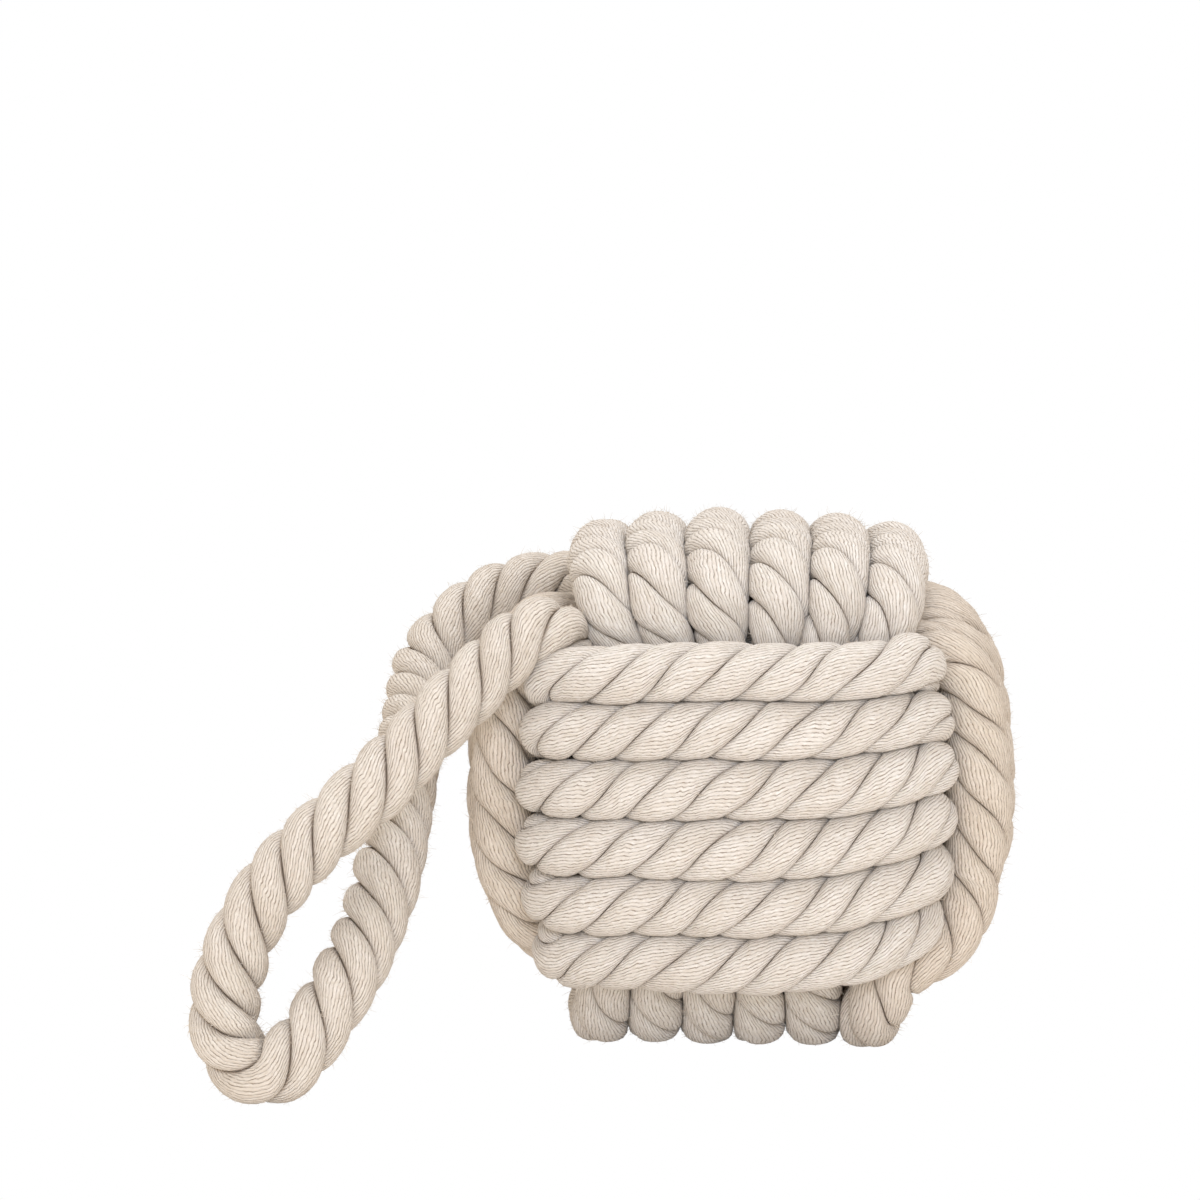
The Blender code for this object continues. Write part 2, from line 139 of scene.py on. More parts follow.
# How far a point is moved to follow the photo, as rows and columns aren't quite even, and how it swells
def pictured(name, point, place):
    moved, swollen = np.zeros(3), 1.0
    if name == "frontBack" and point[1] < 0:
        ends = drawn["leftEnds"] if point[0] < 0 else drawn["rightEnds"]
        reached = min(abs(point[0]) / knot["inner"][0], 1.0) ** drawn["endsPower"]
        lift = rowValue(drawn["rows"], place) + reached * rowValue(ends, place)
        moved[2] = faded(-point[1], "faceFade") * lift
    if name == "topBottom":
        visible = faded(abs(point[2]), "faceFade")
        columns = drawn["topColumns"] if point[2] > 0 else drawn["bottomColumns"]
        moved[0] = visible * rowValue(columns, place)
        if point[2] > 0:
            moved[2] = visible * rowValue(drawn["topRise"], place)
            spread = visible * drawn["topSpread"] * faded(-point[1], "spreadFade")
            moved[0] += point[0] * spread
            swollen += spread
        else:
            moved[2] = visible * (drawn["bottomLift"] * faded(-point[1], "bottomFade"))
    if name == "sides":
        foremost = eased(-place - halfTurns + 1)
        inward = drawn["lowSides"] * faded(-point[2], "lowFade") + drawn["foremostSides"]["inward"] * foremost
        moved[0] = -math.copysign(inward, point[0])
        swollen += drawn["foremostSides"]["swell"] * foremost
    return moved, swollen


def knotPoint(name, out, across, place, shown):
    outAxis, acrossAxis, stackAxis = windingAxes[name]
    point = np.zeros(3)
    point[outAxis] = out * (1 + shown * knot["flatness"][name] * (place / halfTurns) ** 2)
    point[acrossAxis] = across
    pitch = knot["hiddenPitch"] + (knot["shownPitch"] - knot["hiddenPitch"]) * shown
    point[stackAxis] = place * pitch
    share = drawnIn(point)
    radius = (rope["hiddenRadius"] + (rope["shownRadius"][name] - rope["hiddenRadius"]) * shown) * share
    moved, swollen = pictured(name, point, place)
    return {"at": point * share + moved, "radius": radius * swollen, "shown": shown}


# A quarter of a turn, from a shown pass to a covered one, or back up
def corner(name, outSide, acrossSide, place, diving, steps=8):
    outAxis, acrossAxis, _ = windingAxes[name]
    bend = layerApart + knot["cornerSlack"][name]
    outCentre = outSide * (knot["outer"][outAxis] - bend)
    acrossCentre = acrossSide * (knot["inner"][acrossAxis] - bend)
    power = 2 / drawn["squareness"]["bottom" if name == "topBottom" and outSide < 0 else name]
    full = drawn["fullUntil"][name]
    points = []
    for step in range(steps + 1):
        share = step / steps if diving else 1 - step / steps
        angle = share * math.pi / 2
        plump = 0.0
        if name == "frontBack" and outSide < 0:
            ends = drawn["plumpLeft"] if acrossSide < 0 else drawn["plumpRight"]
            plump = rowValue(ends, place) * math.sin(math.pi * share ** drawn["plumpLate"])
        if name == "sides" and acrossSide > 0:
            shoulder = drawn["rightShoulder" if outSide > 0 else "leftShoulder"]
            plump = rowValue(shoulder, place) * math.sin(math.pi * share ** drawn["shoulderLate"])
        out = outCentre + outSide * bend * abs(math.cos(angle)) ** power
        across = acrossCentre + acrossSide * (bend * abs(math.sin(angle)) ** power + plump)
        points.append(knotPoint(name, out, across, place, 1 - eased((share - full) / (1 - full))))
    return points


def straight(name, start, end, places, shown, steps=6):
    points = []
    for step in range(1, steps):
        share = step / steps
        out, across = (a + (b - a) * share for a, b in zip(start, end))
        points.append(knotPoint(name, out, across, places[0] + (places[1] - places[0]) * share, shown))
    return points


# Where a winding's passes lie, out and across, and where its straight stretches stop before the corners
def reach(name):
    outAxis, acrossAxis, _ = windingAxes[name]
    bend = layerApart + knot["cornerSlack"][name]
    outer, inner = knot["outer"][outAxis], knot["inner"][acrossAxis]
    return outer, inner, outer - bend, inner - bend


# All turns of a winding, from the corner before its first shown pass to the end of its last one
def wound(name):
    outer, inner, outStop, acrossStop = reach(name)
    points = []
    for index in range(knot["turns"]):
        place = halfTurns - index
        points += straight(name, (-outer, -acrossStop), (-outer, acrossStop), (place, place), 1)
        points += corner(name, -1, 1, place, True)
        points += straight(name, (-outStop, inner), (outStop, inner), (place, place), 0)
        points += corner(name, 1, 1, place, False)
        points += straight(name, (outer, acrossStop), (outer, -acrossStop), (place, place), 1)
        if index < knot["turns"] - 1:
            points += corner(name, 1, -1, place, True)
            points += straight(name, (outStop, -inner), (-outStop, -inner), (place, place - 1), 0)
            points += corner(name, -1, -1, place - 1, False)
    return points


# Where a winding's last shown pass ends, and its direction there
def runOut(name):
    outer, inner, _, acrossStop = reach(name)
    stop = -(acrossStop - (inner - acrossStop) * knot["endsEarly"])
    end = knotPoint(name, outer, stop, -halfTurns, 1)
    way = end["at"] - knotPoint(name, outer, 0, -halfTurns, 1)["at"]
    return end, way / np.linalg.norm(way)


# A winding without the end of its last shown pass, from where the crossing starts
def cutBack(points, name):
    end, _ = runOut(name)
    acrossAxis = windingAxes[name][1]
    kept = list(points)
    while kept[-1]["at"][acrossAxis] < end["at"][acrossAxis] + knot["cutMargin"]:
        kept.pop()
    return kept + [end]


def bezier(controls, t):
    weights = ((1 - t) ** 3, 3 * t * (1 - t) ** 2, 3 * t * t * (1 - t), t ** 3)
    return sum(weight * place for weight, place in zip(weights, controls))


# The rope's way round a corner of the knot, from one winding's last pass to the next one's first
def crossing(fromName, toName, route=None):
    end, way = runOut(fromName)
    outer, inner, _, _ = reach(toName)
    landing = knotPoint(toName, -outer, -(inner - knot["crossingLands"]), halfTurns, 1)
    if route:
        points = [np.array(place) for place in route]
    else:
        start = end["at"] + way * knot["crossingStraight"]
        onward = knotPoint(toName, -outer, 0, halfTurns, 1)["at"] - landing["at"]
        onward /= np.linalg.norm(onward)
        controls = (start, start + way * knot["crossingLeaves"],
                    landing["at"] - onward * knot["crossingArrives"], landing["at"])
        count = knot["crossingPoints"]
        points = [bezier(controls, t) for t in np.arange(count) / count]
    shares = np.linspace(0, 1, len(points) + 2)[1:-1]
    return [{"at": place, "radius": end["radius"] * (1 - t) + landing["radius"] * t, "shown": 1.0}
            for place, t in zip(points, shares)]


# Points of the whole rope in the knot, and the numbers of points before each cut
def fullPath():
    _, inner, outStop, _ = reach("frontBack")
    points = [knotPoint("frontBack", -(outStop - knot["startTail"] * share), -inner, halfTurns, 0)
              for share in (1, 0.5)]
    points += corner("frontBack", -1, -1, halfTurns, False)
    points += cutBack(wound("frontBack"), "frontBack")
    cuts = [len(points)]
    crossings = (("frontBack", "sides", None), ("sides", "topBottom", drawn["underFront"]))
    for fromName, toName, route in crossings:
        points += crossing(fromName, toName, route)
        body = wound(toName)
        acrossAxis = windingAxes[toName][1]
        lands = knot["crossingLands"] - knot["inner"][acrossAxis]
        while body[0]["at"][acrossAxis] < lands * 0.98:     # the crossing stands for these
            body.pop(0)
        if toName == "sides":
            body = cutBack(body, toName)
            cuts.append(len(points) + len(body))
        points += body
    points += corner("topBottom", 1, -1, -halfTurns, True)
    _, inner, outStop, _ = reach("topBottom")
    points += [knotPoint("topBottom", outStop - knot["endTail"] * share, -inner, -halfTurns, 0)
               for share in (0.5, 1)]
    return points, cuts


# Curves

# A Catmull-Rom curve through points, with values carried along, sampled evenly. The last result tells
# how far along it each of the points lies.
def smoothCurve(points, values, step):
    points = np.asarray(points, float)
    values = np.asarray(values, float).reshape(len(points), -1)
    padded = np.vstack([2 * points[0] - points[1], points, 2 * points[-1] - points[-2]])
    fine, carried, starts = [], [], [0]
    for index in range(len(points) - 1):
        p0, p1, p2, p3 = padded[index:index + 4]
        count = max(3, int(np.linalg.norm(p2 - p1) / step * 2))
        t = (np.arange(count) / count)[:, None]
        fine.append(0.5 * (2 * p1 + (p2 - p0) * t + (2 * p0 - 5 * p1 + 4 * p2 - p3) * t * t
                           + (3 * p1 - p0 - 3 * p2 + p3) * t ** 3))
        carried.append(values[index] + (values[index + 1] - values[index]) * t)
        starts.append(starts[-1] + count)
    fine, carried = np.vstack(fine + [points[-1:]]), np.vstack(carried + [values[-1:]])
    along = lengthsAlong(fine)
    want = np.linspace(0, along[-1], int(along[-1] / step) + 1)
    at = np.stack([np.interp(want, along, fine[:, i]) for i in range(3)], 1)
    values = np.stack([np.interp(want, along, carried[:, i]) for i in range(carried.shape[1])], 1)
    return at, values, want, along[starts]


def lengthsAlong(at):
    return np.concatenate([[0], np.cumsum(np.linalg.norm(np.diff(at, axis=0), axis=1))])


# A moving average along the first axis, with its ends held
def softened(values, width):
    kernel = np.hanning(width + 2)[1:-1]
    kernel /= kernel.sum()
    half = width // 2
    padded = np.concatenate([np.repeat(values[:1], half, 0), values, np.repeat(values[-1:], half, 0)])
    return np.stack([np.convolve(padded[:, i], kernel, "valid") for i in range(values.shape[1])], 1)


# A smooth wander between about -1 and 1, of waves about as long as the lengths
def waves(along, seed, lengths):
    draw = np.random.RandomState(seed)
    total = np.zeros_like(along)
    for length in lengths:
        total += np.sin(2 * math.pi * (along / (length * draw.uniform(0.85, 1.15)) + draw.uniform()))
    return total / len(lengths) * 1.4


def unit(vectors):
    return vectors / np.linalg.norm(vectors, axis=-1, keepdims=True)


# Two unit vectors square to the curve, carried along it without twisting
def carriedFrame(at, first):
    tangent = unit(np.gradient(at, axis=0))
    side = np.zeros_like(at)
    current = np.asarray(first, float)
    for index, way in enumerate(tangent):
        current = current - way * current.dot(way)
        current /= np.linalg.norm(current)
        side[index] = current
    return side, np.cross(tangent, side)


# Strands

# How the rope looks: each strand's outline is an ellipse in the rope's own section, cut off where it
# meets its neighbours. Sizes are shares of the rope's radius unless they are in metres.
rope = {
    "shownRadius": {"frontBack": 0.0088, "sides": 0.0084, "topBottom": 0.0095},
    "hiddenRadius": 0.0069,
    "handleRadius": 0.0091,
    "lay": 0.0375,              # length of one full turn of a strand
    "handleLay": 0.0350,
    "strandOut": 0.52,
    "strandDeep": 0.48,
    "strandWide": {"knot": 0.690, "handle": 0.625},
    "strandAngle": 59.7,        # degrees to each side, just short of its neighbour's
    "points": 18,
    "sample": 0.0005,
    "shownStep": 0.0011,
    "hiddenStep": 0.0026,
    "fineFrom": 2.2,            # how soon rings come close together where the rope comes into view
    "wander": 0.00035,
    "hiddenWander": 0.35,       # the share of it that covered passes have
    "wanderWaves": (0.021, 0.047, 0.11),
    "phaseWander": 0.16,
    "phaseWaves": (0.04, 0.1),
    "swell": 0.022,
    "swellWaves": (0.03, 0.07),
    "ownReach": 0.024,          # passes nearer than this along the rope don't press on each other
    "touchesAt": 1.0,
    "giveDepth": 2.1,           # how far in a pressed strand gives way, against how far it was too full
    "leastFrom": 0.05,
    "bendRoom": 0.9,
    "bendFrom": 0.6,
    "bendSoftened": 7,
    "floorSoft": 0.0022,        # lower than this, the rope starts to flatten on the floor
    "welded": 0.0000005,
    "seeds": {"side": 3, "up": 5, "knot": 11, "handle": 17, "handleFuzz": 29, "knotFuzz": 31},
}


# One strand's outline in the rope's section, as shares of its radius: outward and sideways
def strandProfile(wide):
    turn = np.linspace(0, 2 * math.pi, rope["points"] + 1) + math.pi
    outward = rope["strandOut"] + rope["strandDeep"] * np.cos(turn)
    sideways = wide * np.sin(turn)
    limit = math.radians(rope["strandAngle"])
    length = np.hypot(outward, sideways)
    angle = np.clip(np.arctan2(sideways, outward), -limit, limit)
    return length * np.cos(angle), length * np.sin(angle)


# A rope's rings: their places, directions, sizes and lengths along it
def laidRope(at, radius, lay, wide, seed, first):
    along = lengthsAlong(at)
    side, up = carriedFrame(at, first)
    phase = -2 * math.pi * along / lay + rope["phaseWander"] * waves(along, seed, rope["phaseWaves"])
    curving = np.gradient(unit(np.gradient(at, axis=0)), along, axis=0)
    return {"at": at, "side": side, "up": up, "phase": phase, "along": along,
            "bend": softened(curving, rope["bendSoftened"]), "wide": np.full(len(at), wide),
            "radius": radius * (1 + rope["swell"] * waves(along, seed + 1, rope["swellWaves"]))}


def thinned(laid, rows):
    return {key: value[rows] for key, value in laid.items()}


# Every ring's outline points, round its three strands, from the rope's middle
def strandOffsets(laid):
    outward, sideways = strandProfile(laid["wide"][0])
    offsets = []
    for strand in range(3):
        turned = (laid["phase"] + strand * 2 * math.pi / 3)[:, None]
        out = np.cos(turned) * laid["side"] + np.sin(turned) * laid["up"]
        over = -np.sin(turned) * laid["side"] + np.cos(turned) * laid["up"]
        ring = outward[None, :, None] * out[:, None] + sideways[None, :, None] * over[:, None]
        offsets.append(ring * laid["radius"][:, None, None])
    return np.stack(offsets, 1)


# Where passes lie against each other: ring numbers, in all ropes counted through, of each pair
def touching(ropes):
    at = np.concatenate([laid["at"] for laid in ropes]).astype(np.float32)
    radius = np.concatenate([laid["radius"] for laid in ropes]).astype(np.float32)
    along = np.concatenate([laid["along"] + 10.0 * index for index, laid in enumerate(ropes)])
    firsts, seconds = [], []
    for start in range(0, len(at), 500):        # in batches, to save memory
        rows = slice(start, min(start + 500, len(at)))
        gap = np.linalg.norm(at[rows, None] - at[None], axis=2)
        gap[np.abs(along[rows, None] - along[None]) < rope["ownReach"]] = 1.0
        near = gap[:, 1:-1] < np.minimum(gap[:, :-2], gap[:, 2:])
        near &= gap[:, 1:-1] < radius[rows, None] + radius[None, 1:-1]
        first, second = np.nonzero(near)
        firsts.append(first + start)
        seconds.append(second + 1)
    return np.concatenate(firsts), np.concatenate(seconds)


# Presses the strands flat where passes touch, each giving way as the other bulges
def pressTogether(ropes):
    offsets = np.concatenate([strandOffsets(laid) for laid in ropes])
    at = np.concatenate([laid["at"] for laid in ropes])
    offsets = offsets.reshape(len(at), -1, 3)
    first, second = touching(ropes)
    apart = at[second] - at[first]
    distance = np.linalg.norm(apart, axis=1)
    apart /= distance[:, None]
    own = np.einsum("nkj,nj->nk", offsets[first], apart).max(1)
    other = np.einsum("nkj,nj->nk", offsets[second], -apart).max(1)
    tight = (own + other) / distance
    kept = tight > rope["touchesAt"]
    first, apart, distance, own, other, tight = (a[kept] for a in (first, apart, distance, own, other, tight))
    limit = distance * own / (own + other)
    pressed = bentIn(offsets, np.concatenate([laid["bend"] for laid in ropes]))
    order = np.argsort(first, kind="stable")
    rank = np.arange(len(order)) - np.searchsorted(first[order], first[order])
    for level in range(int(rank.max()) + 1):    # a ring that touches several passes takes them in turn
        pick = order[rank == level]
        rows, normal = first[pick], apart[pick]
        lean = np.einsum("nkj,nj->nk", pressed[rows], normal)
        share = lean / limit[pick][:, None]
        most = np.maximum(tight[pick], share.max(1))[:, None]
        excess = most - rope["touchesAt"]
        begin = np.maximum(rope["leastFrom"], most - rope["giveDepth"] * excess)
        give = np.clip(share - begin, 0, None) ** 2 * excess / np.maximum(most - begin, 1e-6) ** 2
        pressed[rows] -= (give * limit[pick][:, None])[..., None] * normal[:, None]
    places = at[:, None] + pressed
    places[..., 2] = aboveFloor(places[..., 2])
    starts = np.cumsum([0] + [len(laid["at"]) for laid in ropes])
    shape = (-1, 3, rope["points"] + 1, 3)
    print(f"strands pressed at {len(first)} places where passes touch")
    return [places[a:b].reshape(shape) for a, b in zip(starts, starts[1:])]


# Keeps a tight bend's inner side short of the bend's own middle, so that it doesn't fold over
def bentIn(offsets, bend):
    curved = np.linalg.norm(bend, axis=1)
    normal = bend / np.maximum(curved, 1e-9)[:, None]
    room = rope["bendRoom"] / np.maximum(curved, 1e-9)
    lean = np.einsum("nkj,nj->nk", offsets, normal)
    share = lean / room[:, None]
    start = rope["bendFrom"]
    rest = 1 - start
    over = np.where(share > start, share - (start + rest * (1 - np.exp(-(share - start) / rest))), 0)
    return offsets - (over * room[:, None])[..., None] * normal[:, None]


# Flattened softly where the rope lies on the floor
def aboveFloor(heights):
    start = rope["floorSoft"]
    return np.where(heights < start, start * np.exp((heights - start) / start), heights)


# One strand's skin: a grid that is wrapped round, with its place round and along the strand as its UV
def strandMesh(name, places, along, strand):
    rings, columns = places.shape[0], rope["points"]
    grid = bmesh.new()
    grid.loops.layers.uv.new("strand")
    bmesh.ops.create_grid(grid, x_segments=columns, y_segments=rings - 1, size=1.0, calc_uvs=True)
    mesh = bpy.data.meshes.new(name)
    grid.to_mesh(mesh)
    grid.free()
    flat = np.zeros(len(mesh.vertices) * 3)
    mesh.vertices.foreach_get("co", flat)
    flat = flat.reshape(-1, 3)
    column = np.rint((flat[:, 0] + 1) / 2 * columns).astype(int)
    row = np.rint((flat[:, 1] + 1) / 2 * (rings - 1)).astype(int)
    mesh.vertices.foreach_set("co", places[row, strand, column].ravel())
    corners = np.zeros(len(mesh.loops), dtype=np.int32)
    mesh.loops.foreach_get("vertex_index", corners)
    uv = np.stack([column[corners] / columns, along[row[corners]] + yarn["strandApart"] * strand], 1)
    mesh.uv_layers[0].data.foreach_set("uv", uv.ravel())
    # The material darkens the strands by this depth, as painted shade in the grooves between them
    depth = mesh.attributes.new("depth", "FLOAT", "POINT")      # 1 at the rope's middle, 0 at its outside
    turn = column / columns * 2 * math.pi
    depth.data.foreach_set("value", ((1 + np.cos(turn)) / 2).astype(np.float32))
    return mesh


# A length of three-strand rope as one mesh object, closed at its ends
def ropeMesh(name, places, along, material):
    joined = bmesh.new()
    for strand in range(3):
        mesh = strandMesh(name, places, along, strand)
        joined.from_mesh(mesh)
        bpy.data.meshes.remove(mesh)
    rimVerts = [vert for vert in joined.verts if vert.is_boundary]
    bmesh.ops.remove_doubles(joined, verts=rimVerts, dist=rope["welded"])
    rims = [edge for edge in joined.edges if edge.is_boundary]
    bmesh.ops.holes_fill(joined, edges=rims)
    bmesh.ops.recalc_face_normals(joined, faces=joined.faces)
    bmesh.ops.split_edges(joined, edges=[edge for edge in rims if edge.is_valid])
    mesh = bpy.data.meshes.new(name)
    joined.to_mesh(mesh)
    joined.free()
    mesh.shade_smooth()
    mesh.materials.append(material)
    return placed(name, mesh)


def placed(name, mesh):
    made = bpy.data.objects.new(name, mesh)
    bpy.context.scene.collection.objects.link(made)
    print(f"{name}: {sum(len(face.vertices) - 2 for face in mesh.polygons)} triangles")
    return made


# Numbers of the samples kept as rings: close together where the rope shows, wide apart where it's covered
def ringRows(along, shown):
    fine = np.clip(shown * rope["fineFrom"], 0, 1)
    step = rope["hiddenStep"] + (rope["shownStep"] - rope["hiddenStep"]) * fine
    count = np.concatenate([[0], np.cumsum(np.diff(along) / ((step[1:] + step[:-1]) / 2))])
    return np.rint(np.interp(np.arange(0, count[-1]), count, np.arange(len(along)))).astype(int)


# The knot's rope, ready to be pressed, with the ring numbers where one winding ends and the next starts
def layKnot():
    points, cuts = fullPath()
    values = [(point["radius"], point["shown"]) for point in points]
    at, carried, along, marks = smoothCurve([point["at"] for point in points], values, rope["sample"])
    at = softened(at, knot["softened"])
    side, up = carriedFrame(at, (0, 0, 1))
    hidden, seeds = rope["hiddenWander"], rope["seeds"]
    loose = (rope["wander"] * (hidden + (1 - hidden) * carried[:, 1]))[:, None]
    aside, above = (waves(along, seeds[way], rope["wanderWaves"])[:, None] for way in ("side", "up"))
    at = at + loose * (side * aside + up * above)
    at = at + np.array([0, 0, knot["centreHeight"]])
    laid = laidRope(at, carried[:, 0], rope["lay"], rope["strandWide"]["knot"], seeds["knot"], (0, 0, 1))
    ends = [0] + [int(np.searchsorted(along, marks[cut - 1])) for cut in cuts] + [len(along) - 1]
    rows = np.unique(np.concatenate([ringRows(along, carried[:, 1]), ends]))
    print(f"knot's rope laid, {along[-1]:.2f} m")
    return thinned(laid, rows), [int(np.searchsorted(rows, end)) for end in ends]


def placeKnot(laid, places, ends):
    names = (("ropeFrontBack", "winding_front_back"), ("ropeSides", "winding_sides"),
             ("ropeTopBottom", "winding_top_bottom"))
    for (name, node), first, last in zip(names, ends, ends[1:]):
        part = slice(first, last + 1)
        piece = ropeMesh(name, places[part], laid["along"][part], knotCotton)
        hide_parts(node)
        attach(piece, "knot")
    rows = slice(0, len(laid["at"]))
    hairs = strayFibres("fuzzKnot", laid, places, rows, fuzz["knotCount"], rope["seeds"]["knotFuzz"])
    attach(hairs, "knot")


# The handle

# Its legs' points are measured from the pockets in x and y, and from the floor in z
handle = {
    "inset": (0.002, 0.003, 0.00125),
    "rootLength": 0.0195,
    "rootShare": 0.55,          # how thick the tucked end is, against the free rope
    "rootBlunt": 0.004,
    "intoKnot": 0.010,
    "softened": 15,
    "everyRing": 2,
    "frontLeg": [
        (-0.0066, -0.0056, 0.1146), (-0.0136, -0.0108, 0.1094), (-0.0210, -0.0150, 0.1022),
        (-0.0298, -0.0200, 0.0938), (-0.0408, -0.0262, 0.0824), (-0.0520, -0.0305, 0.0722),
        (-0.0614, -0.0340, 0.0640), (-0.0698, -0.0370, 0.0548), (-0.0760, -0.0390, 0.0450),
        (-0.0800, -0.0410, 0.0350), (-0.0820, -0.0430, 0.0250),
        (-0.0808, -0.0458, 0.0158), (-0.0758, -0.0490, 0.0103), (-0.0690, -0.0504, 0.0094),
        (-0.0618, -0.0488, 0.0150),
    ],
    "rearLeg": [
        (-0.0558, -0.1385, 0.0235), (-0.0500, -0.1295, 0.0329), (-0.0460, -0.1200, 0.0418),
        (-0.0434, -0.1105, 0.0506), (-0.0418, -0.0985, 0.0596), (-0.0412, -0.0800, 0.0697),
        (-0.0409, -0.0580, 0.0786), (-0.0409, -0.0375, 0.0863), (-0.0404, -0.0270, 0.0917),
        (-0.0384, -0.0190, 0.0972), (-0.0330, -0.0115, 0.1037), (-0.0255, -0.0065, 0.1095),
        (-0.0180, -0.0032, 0.1128), (-0.0100, -0.0010, 0.1148),
    ],
    "blendFrom": 0.004,
    "blendTo": -0.008,
}


def hinge(side):
    x, y, z = (inner - inset for inner, inset in zip(knot["inner"], handle["inset"]))
    return np.array([-x, side * y, knot["centreHeight"] + z])


def rootWay(side):
    return np.array([1, -side, -1]) / math.sqrt(3)


# The handle's rope from its one tucked end to the other, and the rings where its free part starts and ends
def layHandle():
    front, rear = hinge(-1), hinge(1)
    depths = (handle["rootLength"], handle["rootLength"] * 0.5)
    route = [front + rootWay(-1) * depth for depth in depths] + [front]
    route += [np.array([front[0] + x, front[1] + y, z]) for x, y, z in handle["frontLeg"]]
    route += [np.array([rear[0] + x, rear[1] + y, z]) for x, y, z in handle["rearLeg"]]
    route += [rear] + [rear + rootWay(1) * depth for depth in depths[::-1]]
    at, _, along, _ = smoothCurve(route, np.zeros(len(route)), rope["sample"])
    at = softened(at, handle["softened"])
    fromEnd = np.minimum(along, along[-1] - along)
    taper = np.clip((fromEnd - handle["rootBlunt"]) / (handle["rootLength"] - handle["rootBlunt"]), 0, 1)
    radius = rope["handleRadius"] * (handle["rootShare"] + (1 - handle["rootShare"]) * taper)
    wide, seed = rope["strandWide"]["handle"], rope["seeds"]["handle"]
    laid = laidRope(at, radius, rope["handleLay"], wide, seed, (0, 0, 1))
    rows = np.arange(0, len(at), handle["everyRing"])
    free = handle["rootLength"] - handle["intoKnot"]
    ends = [int(np.searchsorted(along[rows], place)) for place in (free, along[-1] - free)]
    print("handle's rope laid")
    return thinned(laid, rows), ends


def placeHandle(laid, places, ends):
    free = slice(ends[0], ends[1] + 1)
    piece = ropeMesh("ropeHandle", places[free], laid["along"][free], handleCotton)
    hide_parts("handle_loop")
    hairs = strayFibres("fuzzHandle", laid, places, free, fuzz["handleCount"], rope["seeds"]["handleFuzz"])
    for made in (piece, hairs):
        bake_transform(made)
    for name, node, part in (("rootFront", "handle_root_front", slice(0, ends[0] + 1)),
                             ("rootRear", "handle_root_rear", slice(ends[1], len(laid["at"])))):
        root = ropeMesh(name, places[part], laid["along"][part], handleCotton)
        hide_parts(node)
        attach(root, "knot")


# Stray fibres

fuzz = {
    "knotCount": 42000,
    "handleCount": 16000,
    "length": 0.0022,           # of the longest
    "lengthShare": (0.25, 1.0),
    "mostlyShort": 2.0,         # the power that makes short ones common
    "thickness": 0.00011,
    "faceOut": 0.30,            # the knot's stand where its surface faces outwards at least this much
    "standing": (0.25, 1.0),    # how far they stand straight out, against how far they lean
    "leaning": 0.75,
    "curl": 0.35,
    "rootDepth": 0.0001,
    "offFloor": 0.0003,
    "tipThinner": 0.7,
    "colour": (0.80, 0.75, 0.68, 1.0),
    "patches": 400.0,
    "patchRamp": (0.35, 0.65),
    "finish": {"Roughness": 0.9, "Specular IOR Level": 0.1},
}


# Short fine hairs that stand off the strands' outer sides, as one mesh
def strayFibres(name, laid, places, rows, count, seed):
    draw = np.random.RandomState(seed)
    ring = draw.randint(rows.start + 1, rows.stop - 1, count * 3)
    strand = draw.randint(0, 3, len(ring))
    column = draw.randint(3, rope["points"] - 2, len(ring))
    root = places[ring, strand, column]
    out = unit(root - laid["at"][ring])
    middle = np.array([0, 0, knot["centreHeight"]])
    outside = ((root - middle) * out).sum(1) > fuzz["faceOut"] * np.linalg.norm(root - middle, axis=1)
    chosen = np.nonzero(outside | (name == "fuzzHandle"))[0][:count]
    curve = bpy.data.curves.new(name, "CURVE")
    curve.dimensions = "3D"
    curve.extrude = fuzz["thickness"] / 2
    for index in chosen:
        lean = unit(out[index] * draw.uniform(*fuzz["standing"]) + draw.normal(0, fuzz["leaning"], 3))
        length = fuzz["length"] * draw.uniform(*fuzz["lengthShare"]) ** fuzz["mostlyShort"]
        curl = draw.normal(0, fuzz["curl"], 3)
        start = root[index] - out[index] * fuzz["rootDepth"]
        spline = curve.splines.new("POLY")
        spline.points.add(2)
        for point, share in zip(spline.points, (0.0, 0.5, 1.0)):
            place = start + length * (lean * share + curl * share * share)
            point.co = (*np.maximum(place, (-1, -1, fuzz["offFloor"])), 1)
            point.radius = 1 - fuzz["tipThinner"] * share
    outline = bpy.data.objects.new(name, curve)
    mesh = bpy.data.meshes.new_from_object(outline)
    bpy.data.objects.remove(outline)
    bpy.data.curves.remove(curve)
    mesh.materials.clear()
    mesh.materials.append(cottonFuzz)
    made = placed(name, mesh)
    return made


# Materials

def newMaterial(name):
    made = bpy.data.materials.new(name)
    made.use_nodes = True
    tree = made.node_tree
    return made, tree, tree.nodes["Principled BSDF"]


# Inputs are given by name, or as i0, i1, ... by number, each as a socket to link or a value to set
def addNode(tree, kind, settings=None, **inputs):
    node = tree.nodes.new(kind)
    for key, value in (settings or {}).items():
        setattr(node, key, value)
    for key, value in inputs.items():
        socket = node.inputs[int(key[1:])] if key[0] == "i" and key[1:].isdigit() else node.inputs[key]
        if isinstance(value, bpy.types.NodeSocket):
            tree.links.new(value, socket)
        else:
            socket.default_value = value
    return node


def mathNode(tree, operation, a, b=0.0):
    return addNode(tree, "ShaderNodeMath", {"operation": operation}, i0=a, i1=b).outputs[0]


def mixColour(tree, factor, a, b, blend="MIX"):
    settings = {"data_type": "RGBA", "blend_type": blend}
    return addNode(tree, "ShaderNodeMix", settings, i0=factor, i6=a, i7=b).outputs[2]


def objectPlace(tree):
    return addNode(tree, "ShaderNodeTexCoord").outputs["Object"]


def noiseNode(tree, place, scale, **settings):
    return addNode(tree, "ShaderNodeTexNoise", Vector=place, Scale=scale, **settings).outputs[0]


